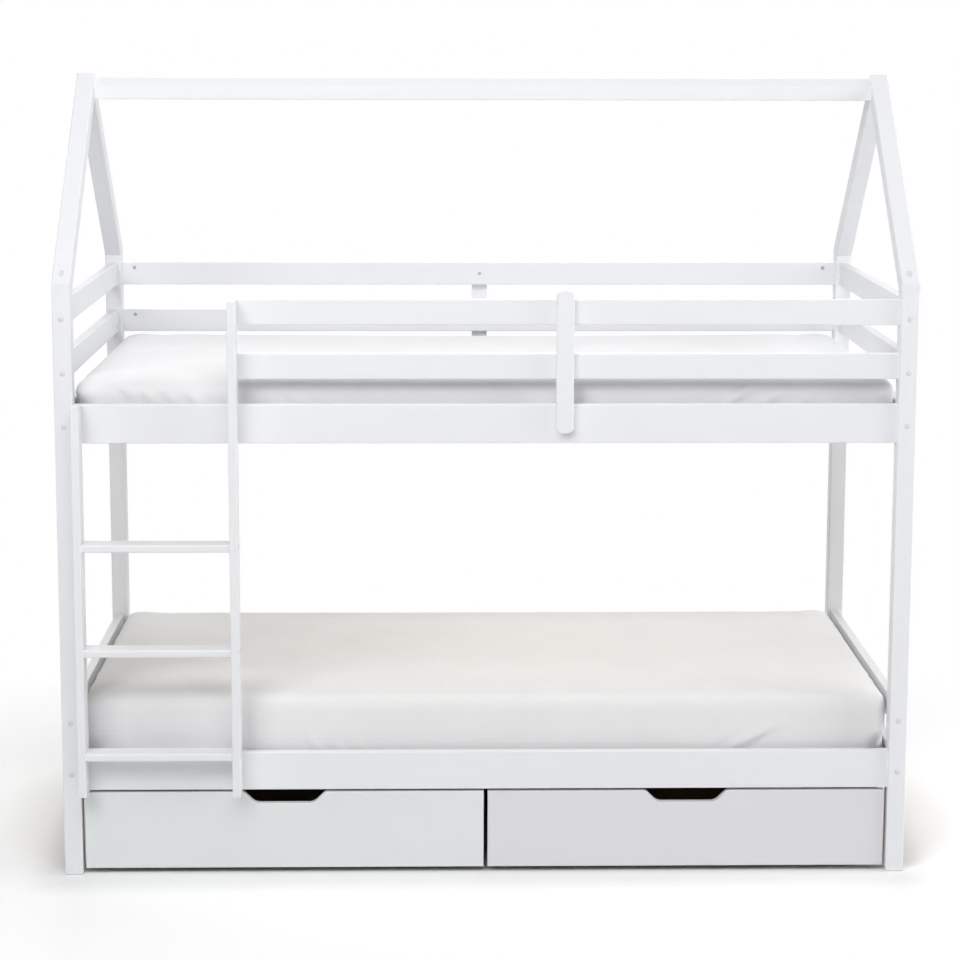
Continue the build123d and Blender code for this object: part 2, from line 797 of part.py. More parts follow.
with BuildPart() as frame_screws:
    put(screw_shape(frame_screw), stile_screws + rung_screws[left_stile_x] + rung_screws[right_stile_x])
    put(screw_shape(batten_screw), front_batten_screws + rear_batten_screws)
    put(screw_shape(ledger_screw), ledger_screws)
    put(screw_shape(slat_screw), slat_screws)
save(frame_screws, "frame_screws")

# Castor: a folded steel fork with a riveted pin, made round the wheel's axis
cheek_inside = hub_half_width + fork_clearance
cheek_outside = cheek_inside + fork_sheet
plate_z = castor_height - wheel_radius  # the fork's top above the wheel's axis
with BuildPart() as castor_fork:
    with Locations((0, 0, plate_z - fork_sheet / 2)):
        Box(2 * cheek_outside, fork_length, fork_sheet)
    for start in (-cheek_outside, cheek_inside):
        with BuildSketch(Plane.YZ.offset(start)):
            Circle(fork_cheek_radius)
            with Locations((0, plate_z - fork_sheet)):
                Rectangle(4 * fork_cheek_radius, fork_sheet)
            make_hull()
        extrude(amount=fork_sheet)
    Cylinder(
        pin_radius + running_clearance, 4 * cheek_outside, rotation=(0, 90, 0), mode=Mode.SUBTRACT
    )
    plate_screw_y = fork_length / 2 - 2 * fork_sheet - plate_screw[2] / 2
    plate_screws = [
        Plane((0, side * plate_screw_y, plate_z - fork_sheet), z_dir=(0, 0, 1)).location for side in (-1, 1)
    ]
    bore(screw_shape(plate_screw, bore_clearance), plate_screws)

head_inside = cheek_outside + running_clearance
head_outside = head_inside + pin_head_height
castor_pin = turned(
    [
        (0, -head_outside),
        (pin_head_radius, -head_outside),
        (pin_head_radius, -head_inside),
        (pin_radius, -head_inside),
        (pin_radius, head_inside),
        (pin_head_radius, head_inside),
        (pin_head_radius, head_outside),
        (0, head_outside),
    ]
)

with BuildPart() as wheel:
    with BuildSketch(Plane.XZ) as wheel_section:
        with BuildLine():
            Polyline(
                (-hub_half_width, pin_radius + running_clearance),
                (-hub_half_width, hub_radius),
                (-web_half_width, hub_radius),
                (-web_half_width, web_radius),
                (-wheel_half_width, web_radius),
                (-wheel_half_width, wheel_radius),
                (wheel_half_width, wheel_radius),
                (wheel_half_width, web_radius),
                (web_half_width, web_radius),
                (web_half_width, hub_radius),
                (hub_half_width, hub_radius),
                (hub_half_width, pin_radius + running_clearance),
                close=True,
            )
        make_face()
        tread_corners = wheel_section.vertices().group_by(Axis.Z)[-1]
        fillet(tread_corners, wheel_rounding)
    revolve(axis=Axis.X)

# Cam fittings that pull a drawer's front onto its walls, and the holes that they sit in
cam_reach = cam_distance + cam_bolt_depth
on_its_base = (Align.CENTER, Align.CENTER, Align.MIN)
with BuildPart() as cam:
    Cylinder(cam_radius, cam_thickness, align=on_its_base)
    with Locations((0, 0, drawer_wall / 2)):
        Cylinder(bolt_radius, cam_reach, rotation=(0, 90, 0), align=on_its_base)
    Box(1.2 * cam_radius, nut_slot_width, 2 * nut_slot_depth, mode=Mode.SUBTRACT)

with BuildPart() as cam_bore:
    Cylinder(cam_radius + nut_clearance, cam_thickness + end_clearance, align=on_its_base)
    with Locations((0, 0, drawer_wall / 2)):
        Cylinder(
            bolt_radius + nut_clearance, cam_reach + end_clearance, rotation=(0, 90, 0), align=on_its_base
        )

# Drawers: a lacquered front on a box of raw board, one under each half of the bed
front_y = middle_y - rail_outer_y
box_y = front_y + drawer_front_thickness
box_end = front_y + drawer_depth
drawer_top = lower_rail_z - drawer_top_gap
front_width = inner_post_x - drawer_post_gap - drawer_middle_gap / 2
box_half_width = front_width / 2 - drawer_wall_inset
inner_half = box_half_width - drawer_wall
wall_middle = castor_height + drawer_wall_height / 2
panel_middle = castor_height + drawer_panel / 2
wall_screw_bore = screw_shape(wall_screw, bore_clearance)
plate_screw_bore = screw_shape(plate_screw, bore_clearance)
castor_rows = {"front": box_y + castor_end, "rear": box_end - castor_end}
for side_name, side_x in (("left", -1), ("right", 1)):
    drawer_x = side_x * (drawer_middle_gap + front_width) / 2
    castor_xs = [drawer_x - inner_half + castor_inset, drawer_x + inner_half - castor_inset]
    castor_places = [Location((x, y, wheel_radius)) for y in castor_rows.values() for x in castor_xs]
    castor_screws = [place * screw for place in castor_places for screw in plate_screws]

    screws_in_back = []
    screws_in_panel = []
    cams = []
    for s in (-1, 1):
        wall_face = drawer_x + s * box_half_width
        inward = (-s, 0, 0)
        for height in (-drawer_wall_height / 4, drawer_wall_height / 4):
            spot = (wall_face, box_end - drawer_wall / 2, wall_middle + height)
            screws_in_back.append(Plane(spot, z_dir=inward).location)
        for share in panel_screw_shares:
            spot = (wall_face, box_y + share * (box_end - box_y), panel_middle)
            screws_in_panel.append(Plane(spot, z_dir=inward).location)
        for height in (-cam_spacing / 2, cam_spacing / 2):
            spot = (wall_face - s * drawer_wall, box_y + cam_distance, wall_middle + height)
            cams.append(Plane(spot, x_dir=(0, -1, 0), z_dir=(s, 0, 0)).location)
    panel_back_screws = []
    for share in panel_screw_shares:
        spot = (drawer_x + (2 * share - 1) * inner_half, box_end, panel_middle)
        panel_back_screws.append(Plane(spot, z_dir=(0, -1, 0)).location)

    with BuildPart() as drawer_front:
        with BuildSketch(Plane((drawer_x, box_y, 0), x_dir=(1, 0, 0), z_dir=(0, -1, 0))) as front_outline:
            with Locations((0, (drawer_floor_gap + drawer_top) / 2)):
                Rectangle(front_width, drawer_top - drawer_floor_gap)
            notch_floor = drawer_top - notch_depth
            with BuildLine():
                Polyline(
                    (-notch_top_width / 2, drawer_top),
                    (-notch_bottom_width / 2, notch_floor),
                    (notch_bottom_width / 2, notch_floor),
                    (notch_top_width / 2, drawer_top),
                    close=True,
                )
            make_face(mode=Mode.SUBTRACT)
            floor_corners = front_outline.vertices().sort_by_distance((0, notch_floor))[:2]
            fillet(floor_corners, notch_corner)
            shoulders = front_outline.vertices().filter_by(lambda v: abs(v.X) < front_width / 2 - 1)
            fillet(shoulders.group_by(Axis.Y)[-1], notch_shoulder)
        extrude(amount=drawer_front_thickness)
        fillet(drawer_front.faces().sort_by(Axis.Y)[0].edges(), drawer_front_rounding)
        bore(cam_bore.part, cams)
    save(drawer_front, f"{side_name}_drawer_front")

    with BuildPart() as drawer_sides:
        for s in (-1, 1):
            lay_board(
                "y", box_y, box_end, drawer_x + s * (box_half_width - drawer_wall / 2), castor_height,
                drawer_wall, drawer_wall_height, drawer_front_rounding,
            )
        bore(wall_screw_bore, screws_in_back + screws_in_panel)
        bore(cam_bore.part, cams)
    save(drawer_sides, f"{side_name}_drawer_sides")

    with BuildPart() as drawer_back:
        lay_board(
            "x", drawer_x - inner_half, drawer_x + inner_half, box_end - drawer_wall / 2, castor_height,
            drawer_wall, drawer_wall_height, drawer_front_rounding,
        )
        bore(wall_screw_bore, screws_in_back + panel_back_screws)
    save(drawer_back, f"{side_name}_drawer_back")

    with BuildPart() as drawer_bottom:
        with Locations((drawer_x, (box_y + box_end - drawer_wall) / 2, panel_middle)):
            Box(2 * inner_half, box_end - drawer_wall - box_y, drawer_panel)
        bore(wall_screw_bore, screws_in_panel + panel_back_screws)
        bore(plate_screw_bore, castor_screws)
    save(drawer_bottom, f"{side_name}_drawer_bottom")

    with BuildPart() as castor_forks:
        put(castor_fork.part, castor_places)
        put(castor_pin, [place * Location((0, 0, 0), (0, 90, 0)) for place in castor_places])
    save(castor_forks, f"{side_name}_castor_forks")

    for row_name, y in castor_rows.items():
        with BuildPart() as wheels:
            put(wheel.part, [Location((x, y, wheel_radius)) for x in castor_xs])
        save(wheels, f"{side_name}_{row_name}_wheels")

    with BuildPart() as drawer_fittings:
        put(screw_shape(wall_screw), screws_in_back + screws_in_panel + panel_back_screws)
        put(screw_shape(plate_screw), castor_screws)
        put(cam.part, cams)
    save(drawer_fittings, f"{side_name}_drawer_fittings")
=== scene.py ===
"""A house-shaped bunk bed in white-painted pine, with two mattresses in fitted sheets and two drawers.

Metres, +Z up. X runs along the bed, and the ladder and the drawer fronts face -Y.
"""

from math import exp, pi, radians, sin, tanh
from random import Random

import bmesh
import bpy
from mathutils import Matrix, Vector


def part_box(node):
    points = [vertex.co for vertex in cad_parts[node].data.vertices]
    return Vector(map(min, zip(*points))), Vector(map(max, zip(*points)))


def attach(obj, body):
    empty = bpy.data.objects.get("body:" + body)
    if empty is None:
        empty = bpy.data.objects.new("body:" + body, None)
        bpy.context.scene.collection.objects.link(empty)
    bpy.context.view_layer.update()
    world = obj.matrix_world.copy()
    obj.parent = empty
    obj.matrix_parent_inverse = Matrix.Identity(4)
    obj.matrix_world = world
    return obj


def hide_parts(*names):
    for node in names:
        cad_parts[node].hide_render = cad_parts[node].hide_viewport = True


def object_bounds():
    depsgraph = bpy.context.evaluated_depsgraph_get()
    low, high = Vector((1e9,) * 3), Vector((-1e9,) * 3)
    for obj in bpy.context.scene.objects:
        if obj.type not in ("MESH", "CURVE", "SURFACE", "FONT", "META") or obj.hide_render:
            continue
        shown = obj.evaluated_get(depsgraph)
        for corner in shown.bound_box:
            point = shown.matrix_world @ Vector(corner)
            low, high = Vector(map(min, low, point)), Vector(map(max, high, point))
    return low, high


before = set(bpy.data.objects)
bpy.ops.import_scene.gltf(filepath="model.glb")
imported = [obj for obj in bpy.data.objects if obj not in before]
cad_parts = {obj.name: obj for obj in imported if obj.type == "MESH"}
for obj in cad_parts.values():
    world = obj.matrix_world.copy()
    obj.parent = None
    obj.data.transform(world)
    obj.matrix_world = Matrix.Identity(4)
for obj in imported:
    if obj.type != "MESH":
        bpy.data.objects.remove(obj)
cad_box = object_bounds()

# Camera
# A long lens stands 6 m in front of the bed, just above its roof, and looks slightly down.
# The focal length is in pixels of the 960-pixel picture.
picture_width = 960
focal_length = 2360.1
camera_place = Vector((-0.1308, -6.0874, 2.056))
camera_yaw = radians(1.161)
camera_pitch = radians(8.385)
camera_roll = radians(0.15)
camera_shift = -0.10
sensor_width = 36

lens = bpy.data.cameras.new("camera")
lens.sensor_width = sensor_width
lens.lens = focal_length / picture_width * sensor_width
lens.shift_y = camera_shift
camera = bpy.data.objects.new("camera", lens)
bpy.context.scene.collection.objects.link(camera)
bpy.context.scene.camera = camera
camera.matrix_world = (
    Matrix.Translation(camera_place)
    @ Matrix.Rotation(-camera_yaw, 4, "Z")
    @ Matrix.Rotation(pi / 2 - camera_pitch, 4, "X")
    @ Matrix.Rotation(camera_roll, 4, "Z")
)

# Posts, rafters, rails and guards
# Planed pine under a sprayed satin acrylic paint, so the wood shows only as a faint ripple that runs
# along each board. The boards are bolted to the posts from outside.
paint_light = "#EFF0F3"
paint_dim = "#E9EAED"
grain_length = 0.260
grain_width = 0.009
grain_relief = 0.0002
spray_size = 0.0016  # droplets that ran together, drawn a little coarser than they are
spray_relief = 0.00006
paint_cloud = 0.35  # across one patch that has a slightly other tone and gloss
paint_base = 0.3  # share of the dim tone where the grain adds none
paint_gloss = {"To Min": 0.36, "To Max": 0.46}
noise_span = {"From Min": 0.3, "From Max": 0.7}  # most values of a noise lie between these


def linear(colour):
    """A colour written as sRGB hex, as the linear red, green, blue and alpha of a shader socket."""
    channels = [int(colour[i : i + 2], 16) / 255 for i in (1, 3, 5)]
    return [*(c / 12.92 if c <= 0.04045 else ((c + 0.055) / 1.055) ** 2.4 for c in channels), 1]


def add_node(tree, kind, inputs, **settings):
    """Adds a node with its settings, and gives each input named or numbered a value or a link."""
    node = tree.nodes.new(kind)
    for name, value in settings.items():
        setattr(node, name, value)
    for name, value in inputs.items():
        if isinstance(value, bpy.types.NodeSocket):
            tree.links.new(value, node.inputs[name])
        else:
            node.inputs[name].default_value = value
    return node


def start_material(name):
    """A new material, its nodes, its shader and the object's own coordinates."""
    material = bpy.data.materials.new(name)
    material.use_nodes = True
    tree = material.node_tree
    shader = tree.nodes["Principled BSDF"]
    place = add_node(tree, "ShaderNodeTexCoord", {}).outputs["Object"]
    return material, tree, shader, place


def finish_nodes(material, names):
    """Gives a finished material to CAD nodes."""
    for name in names:
        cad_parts[name].material_slots[0].material = material


# How far the grain turns away from the X axis, for each way that a board can run
grain_turns = {
    "along": (0, 0, 0),
    "across": (0, 0, pi / 2),
    "upright": (0, -pi / 2, 0),
    "front_slope": (0, -pi / 4, pi / 2),
    "rear_slope": (0, -pi / 4, -pi / 2),
}


def painted_pine(run):
    """Satin acrylic paint on planed pine whose grain runs one way: smooth, with a soft broad shine."""
    material, tree, shader, place = start_material(f"satin_paint_on_pine_{run}")
    space = add_node(
        tree,
        "ShaderNodeMapping",
        {"Vector": place, "Rotation": grain_turns[run], "Scale": (grain_length, grain_width, grain_width)},
        vector_type="TEXTURE",
    )
    grain = add_node(
        tree,
        "ShaderNodeTexNoise",
        {"Vector": space.outputs["Vector"], "Scale": 1, "Detail": 5, "Roughness": 0.6, "Distortion": 0.4},
    )
    cloud = add_node(tree, "ShaderNodeTexNoise", {"Vector": place, "Scale": 1 / paint_cloud, "Detail": 2})
    spray = add_node(tree, "ShaderNodeTexNoise", {"Vector": place, "Scale": 1 / spray_size, "Detail": 1})
    tone = add_node(
        tree,
        "ShaderNodeMath",
        {0: grain.outputs[0], 1: cloud.outputs[0], 2: paint_base},
        operation="MULTIPLY_ADD",
    )
    colour = add_node(
        tree,
        "ShaderNodeMix",
        {"Factor": tone.outputs[0], 6: linear(paint_light), 7: linear(paint_dim)},
        data_type="RGBA",
    )
    gloss = add_node(tree, "ShaderNodeMapRange", {"Value": cloud.outputs[0], **noise_span, **paint_gloss})
    ripple = add_node(
        tree, "ShaderNodeBump", {"Height": grain.outputs[0], "Strength": 0.5, "Distance": grain_relief}
    )
    skin = add_node(
        tree,
        "ShaderNodeBump",
        {
            "Height": spray.outputs[0],
            "Normal": ripple.outputs["Normal"],
            "Strength": 0.5,
            "Distance": spray_relief,
        },
    )
    tree.links.new(colour.outputs[2], shader.inputs["Base Color"])
    tree.links.new(gloss.outputs["Result"], shader.inputs["Roughness"])
    tree.links.new(skin.outputs["Normal"], shader.inputs["Normal"])
    return material


painted = {run: painted_pine(run) for run in grain_turns}
for end in ("front", "rear"):
    for side in ("left", "right"):
        finish_nodes(painted["upright"], [f"{end}_{side}_{level}_post" for level in ("lower", "upper")])
        finish_nodes(painted[f"{end}_slope"], [f"{end}_{side}_rafter"])
    finish_nodes(painted["along"], [f"{level}_{end}_side_rail" for level in ("lower", "upper")])
    finish_nodes(painted["along"], [f"{end}_{level}_guard" for level in ("lower", "upper")])
    finish_nodes(painted["upright"], [f"{end}_batten"])
for side in ("left", "right"):
    finish_nodes(painted["across"], [f"{level}_{side}_end_rail" for level in ("lower", "upper")])
    finish_nodes(painted["across"], [f"upper_{side}_end_guards"])
finish_nodes(painted["across"], ["lower_end_guards"])
finish_nodes(painted["along"], ["ridge_beam"])

# Ladder
# Two stiles stand in front of the rails and carry three rounded rungs, screwed from both sides.
# They have the same paint as the frame.
finish_nodes(painted["upright"], ["ladder_left_stile", "ladder_right_stile"])
finish_nodes(painted["along"], ["ladder_rungs"])

# Slats and ledgers
# Planed pine without any finish: pale, dry and matt, with growth rings cut lengthways into darker lines.
pine_light = "#EBDCC0"
pine_dark = "#DCC296"
ring_spacing = 0.011
ring_length = 0.900
ring_wave = 0.3  # brings the wave pattern, which has a band each 0.3 of a unit, to one band each unit
pine_relief = 0.0003
pine_dryness = {"To Min": 0.6, "To Max": 0.8}


def bare_pine(run):
    """Untreated planed pine whose growth rings run one way."""
    material, tree, shader, place = start_material(f"planed_pine_{run}")
    space = add_node(
        tree,
        "ShaderNodeMapping",
        {"Vector": place, "Rotation": grain_turns[run], "Scale": (ring_length, ring_spacing, ring_spacing)},
        vector_type="TEXTURE",
    )
    wander = add_node(
        tree, "ShaderNodeTexNoise", {"Vector": space.outputs["Vector"], "Scale": 0.6, "Detail": 3}
    )
    fibre = add_node(
        tree, "ShaderNodeTexNoise", {"Vector": space.outputs["Vector"], "Scale": 9, "Detail": 4}
    )
    rings = add_node(
        tree,
        "ShaderNodeTexWave",
        {
            "Vector": space.outputs["Vector"],
            "Scale": ring_wave,
            "Distortion": 7,
            "Detail": 2,
            "Detail Scale": 0.5,
        },
        bands_direction="Y",
        wave_profile="SAW",
    )
    line = add_node(
        tree, "ShaderNodeMath", {0: rings.outputs["Fac"], 1: wander.outputs[0]}, operation="MULTIPLY"
    )
    colour = add_node(
        tree,
        "ShaderNodeMix",
        {"Factor": line.outputs[0], 6: linear(pine_light), 7: linear(pine_dark)},
        data_type="RGBA",
    )
    dryness = add_node(tree, "ShaderNodeMapRange", {"Value": fibre.outputs[0], **pine_dryness})
    relief = add_node(
        tree, "ShaderNodeBump", {"Height": fibre.outputs[0], "Strength": 0.6, "Distance": pine_relief}
    )
    tree.links.new(colour.outputs[2], shader.inputs["Base Color"])
    tree.links.new(dryness.outputs["Result"], shader.inputs["Roughness"])
    tree.links.new(relief.outputs["Normal"], shader.inputs["Normal"])
    return material


finish_nodes(bare_pine("across"), ["lower_slats", "upper_slats"])
finish_nodes(bare_pine("along"), ["slat_ledgers"])

# Drawers
# Each front is a board under a satin sprayed lacquer. The two fronts take tinted copies of one lacquer,
# faintly green on the left one and a dimmer lilac on the right one, which paint the light and shade that
# fall on each drawer. The box behind it is raw fibreboard, and its bottom is a darker hardboard panel
# between the walls.
lacquer_tints_lit_and_shaded = {"left": ("#E6EAEB", "#E2E5E6"), "right": ("#E3E2E6", "#DFDEE2")}  # lighter and dimmer cloud
lacquer_peel = 0.0022  # the slight orange peel of a sprayed lacquer
lacquer_relief = 0.00008
lacquer_cloud = 0.3
lacquer_gloss = {"To Min": 0.33, "To Max": 0.4}
wall_light = "#A88763"
wall_dark = "#8E6E4C"
panel_light = "#5A4331"
panel_dark = "#3A2A1D"
fibre_size = 0.0015
fibre_relief = 0.0002
board_roughness = 0.82


def lacquered_board(name, light, dim):
    """Satin lacquer sprayed on board: even, with a broad faint cloud, and softly shiny."""
    material, tree, shader, place = start_material(name)
    peel = add_node(tree, "ShaderNodeTexNoise", {"Vector": place, "Scale": 1 / lacquer_peel, "Detail": 1})
    cloud = add_node(
        tree, "ShaderNodeTexNoise", {"Vector": place, "Scale": 1 / lacquer_cloud, "Detail": 2}
    )
    colour = add_node(
        tree,
        "ShaderNodeMix",
        {"Factor": cloud.outputs[0], 6: linear(light), 7: linear(dim)},
        data_type="RGBA",
    )
    gloss = add_node(tree, "ShaderNodeMapRange", {"Value": cloud.outputs[0], **noise_span, **lacquer_gloss})
    skin = add_node(
        tree, "ShaderNodeBump", {"Height": peel.outputs[0], "Strength": 0.4, "Distance": lacquer_relief}
    )
    tree.links.new(colour.outputs[2], shader.inputs["Base Color"])
    tree.links.new(gloss.outputs["Result"], shader.inputs["Roughness"])
    tree.links.new(skin.outputs["Normal"], shader.inputs["Normal"])
    return material


for side, (light, dim) in lacquer_tints_lit_and_shaded.items():
    finish_nodes(lacquered_board(f"satin_lacquer_on_board_{side}", light, dim), [f"{side}_drawer_front"])


def pressed_fibre(name, light, dark):
    """Board of pressed wood fibre without a finish: brown, dull and finely mottled."""
    material, tree, shader, place = start_material(name)
    mottle = add_node(tree, "ShaderNodeTexNoise", {"Vector": place, "Scale": 1 / fibre_size, "Detail": 6})
    colour = add_node(
        tree,
        "ShaderNodeMix",
        {"Factor": mottle.outputs[0], 6: linear(light), 7: linear(dark)},
        data_type="RGBA",
    )
    relief = add_node(
        tree, "ShaderNodeBump", {"Height": mottle.outputs[0], "Strength": 0.5, "Distance": fibre_relief}
    )
    tree.links.new(colour.outputs[2], shader.inputs["Base Color"])
    tree.links.new(relief.outputs["Normal"], shader.inputs["Normal"])
    shader.inputs["Roughness"].default_value = board_roughness
    return material


fibreboard = pressed_fibre("raw_fibreboard", wall_light, wall_dark)
hardboard = pressed_fibre("raw_hardboard", panel_light, panel_dark)
for side in ("left", "right"):
    finish_nodes(fibreboard, [f"{side}_drawer_sides", f"{side}_drawer_back"])
    finish_nodes(hardboard, [f"{side}_drawer_bottom"])

# Bolts, nuts, screws and castor forks
# Steel with a thin zinc plating: grey-white metal with a faintly cloudy shine. The castor forks are
# folded from sheet, the rest is turned.
zinc_light = "#C6C9CC"
zinc_dark = "#A7ABAF"
zinc_cloud = 0.004
zinc_gloss = {"To Min": 0.28, "To Max": 0.5}


def plated_steel(name, light, dark):
    """Plated steel, in the two tones that its cloudy coat has."""
    material, tree, shader, place = start_material(name)
    bloom = add_node(tree, "ShaderNodeTexNoise", {"Vector": place, "Scale": 1 / zinc_cloud, "Detail": 4})
    colour = add_node(
        tree,
        "ShaderNodeMix",
        {"Factor": bloom.outputs[0], 6: linear(light), 7: linear(dark)},
        data_type="RGBA",
    )
    gloss = add_node(tree, "ShaderNodeMapRange", {"Value": bloom.outputs[0], **zinc_gloss})
    tree.links.new(colour.outputs[2], shader.inputs["Base Color"])
    tree.links.new(gloss.outputs["Result"], shader.inputs["Roughness"])
    shader.inputs["Metallic"].default_value = 1
    return material


zinc = plated_steel("zinc_plated_steel", zinc_light, zinc_dark)
fittings = [f"{side}_{part}" for side in ("left", "right") for part in ("castor_forks", "drawer_fittings")]
finish_nodes(zinc, ["connector_bolts", "barrel_nuts", "frame_screws", *fittings])

# Caps
# Domed caps of moulded polyethylene pressed into the bolt holes, a little shinier than the paint. Their
# light grey is partly their own tone and partly painted shade, so that they show as darker dots on the
# paint.
cap_grey_with_painted_shade = "#D9DBDE"
cap_texture = 0.0012
cap_relief = 0.00005
cap_gloss = {"To Min": 0.22, "To Max": 0.36}

material, tree, shader, place = start_material("moulded_polyethylene")
mould = add_node(tree, "ShaderNodeTexNoise", {"Vector": place, "Scale": 1 / cap_texture, "Detail": 2})
gloss = add_node(tree, "ShaderNodeMapRange", {"Value": mould.outputs[0], **cap_gloss})
skin = add_node(
    tree, "ShaderNodeBump", {"Height": mould.outputs[0], "Strength": 0.3, "Distance": cap_relief}
)
tree.links.new(gloss.outputs["Result"], shader.inputs["Roughness"])
tree.links.new(skin.outputs["Normal"], shader.inputs["Normal"])
shader.inputs["Base Color"].default_value = linear(cap_grey_with_painted_shade)
finish_nodes(material, ["bolt_caps"])

# Dowels
# Fluted beech pegs glued into the ends of the boards: reddish, dense and matt.
beech_light = "#D8B48C"
beech_dark = "#C69A70"
beech_fleck = 0.002
beech_roughness = 0.6

material, tree, shader, place = start_material("turned_beech")
fleck = add_node(tree, "ShaderNodeTexNoise", {"Vector": place, "Scale": 1 / beech_fleck, "Detail": 4})
colour = add_node(
    tree,
    "ShaderNodeMix",
    {"Factor": fleck.outputs[0], 6: linear(beech_light), 7: linear(beech_dark)},
    data_type="RGBA",
)
tree.links.new(colour.outputs[2], shader.inputs["Base Color"])
shader.inputs["Roughness"].default_value = beech_roughness
finish_nodes(material, ["wooden_dowels"])

# Castor wheels
# Solid moulded nylon, black and matt, turning on the riveted pins of the forks.
nylon_black = "#232326"
nylon_texture = 0.0015
nylon_relief = 0.0001
nylon_gloss = {"To Min": 0.4, "To Max": 0.6}

material, tree, shader, place = start_material("moulded_nylon")
mould = add_node(tree, "ShaderNodeTexNoise", {"Vector": place, "Scale": 1 / nylon_texture, "Detail": 3})
gloss = add_node(tree, "ShaderNodeMapRange", {"Value": mould.outputs[0], **nylon_gloss})
skin = add_node(
    tree, "ShaderNodeBump", {"Height": mould.outputs[0], "Strength": 0.4, "Distance": nylon_relief}
)
tree.links.new(gloss.outputs["Result"], shader.inputs["Roughness"])
tree.links.new(skin.outputs["Normal"], shader.inputs["Normal"])
shader.inputs["Base Color"].default_value = linear(nylon_black)
finish_nodes(
    material, [f"{side}_{end}_wheels" for side in ("left", "right") for end in ("front", "rear")]
)

# Mattresses
# Foam cores in fitted sheets of plain cotton, whose elastic hems pull the corners in underneath. The
# sheets are taut on top, and a few folds run down their sides.
sheet_light = "#EEEEEF"
sheet_dim = "#E7E7E8"
thread_spacing = 0.0113  # some twenty-five times the real one, so that the weave shows from 6 m
wave_turn = 20  # how far the wave pattern turns in one unit, in radians
weave_relief = 0.00025
slub_size = 0.12
sheet_softness = {"To Min": 0.8, "To Max": 0.95}
sheet_sheen = 0.12
cell = 0.016
plan_corner = 0.024
top_edge = 0.026
bottom_edge = 0.016
swell_room = Vector((-0.0065, 0.001, 0.004))  # left for the filling, and less than none at the ends
swell_limit = 0.009
swell_steps = 20
held_height = 0.030
fold_depth = 0.15  # how far inwards from the side a fold can still show
fold_tail = 0.1  # how far a fold runs on past each end, as a share of its length
trough_depth = 0.45  # beside each fold, as a share of its height
trough_place = 1.7  # from the fold's crest, in half widths
corner_reach = 0.060

cotton, tree, shader, place = start_material("plain_cotton_weave")
threads = [
    add_node(
        tree,
        "ShaderNodeTexWave",
        {"Vector": place, "Scale": 2 * pi / wave_turn / thread_spacing, "Distortion": 0.4, "Detail": 1},
        bands_direction=axis,
    ).outputs["Fac"]
    for axis in ("X", "Y", "Z")
]
pair = add_node(tree, "ShaderNodeMath", {0: threads[0], 1: threads[1]}, operation="ADD")
weave = add_node(tree, "ShaderNodeMath", {0: pair.outputs[0], 1: threads[2]}, operation="ADD")
slub = add_node(tree, "ShaderNodeTexNoise", {"Vector": place, "Scale": 1 / slub_size, "Detail": 4})
colour = add_node(
    tree,
    "ShaderNodeMix",
    {"Factor": slub.outputs[0], 6: linear(sheet_light), 7: linear(sheet_dim)},
    data_type="RGBA",
)
softness = add_node(tree, "ShaderNodeMapRange", {"Value": slub.outputs[0], **sheet_softness})
wave_bump = add_node(
    tree, "ShaderNodeBump", {"Height": weave.outputs[0], "Strength": 0.35, "Distance": weave_relief}
)
tree.links.new(colour.outputs[2], shader.inputs["Base Color"])
tree.links.new(softness.outputs["Result"], shader.inputs["Roughness"])
tree.links.new(wave_bump.outputs["Normal"], shader.inputs["Normal"])
shader.inputs["Sheen Weight"].default_value = sheet_sheen
shader.inputs["Sheen Roughness"].default_value = 0.5

# The four sides of a mattress: the way along it, and the way out of it
sheet_sides = {
    "front": (Vector((1, 0, 0)), Vector((0, -1, 0))),
    "rear": (Vector((-1, 0, 0)), Vector((0, 1, 0))),
    "left": (Vector((0, -1, 0)), Vector((-1, 0, 0))),
    "right": (Vector((0, 1, 0)), Vector((1, 0, 0))),
}


def apply_modifiers(piece):
    """Makes the piece's modifiers part of its mesh."""
    graph = bpy.context.evaluated_depsgraph_get()
    finished = bpy.data.meshes.new_from_object(piece.evaluated_get(graph))
    piece.modifiers.clear()
    piece.data = finished


def swell(piece, low):
    """Lets the cover stretch over its filling. What lies on the slats stays, and every move is limited."""
    before = [vertex.co.copy() for vertex in piece.data.vertices]
    held = piece.vertex_groups.new(name="held")
    held.add([i for i, point in enumerate(before) if point.z < low.z + held_height], 1, "REPLACE")
    cloth = piece.modifiers.new("cover", "CLOTH")
    cloth.settings.vertex_group_mass = held.name
    cloth.settings.use_pressure = True
    cloth.settings.uniform_pressure_force = 4
    cloth.settings.quality = 5
    cloth.settings.effector_weights.gravity = 0
    scene = bpy.context.scene
    for step in range(1, swell_steps + 1):
        scene.frame_set(step)
    apply_modifiers(piece)
    scene.frame_set(1)
    for vertex, start in zip(piece.data.vertices, before):
        move = vertex.co - start
        if move.length > 1e-6:
            vertex.co = start + move.normalized() * swell_limit * tanh(move.length / swell_limit)


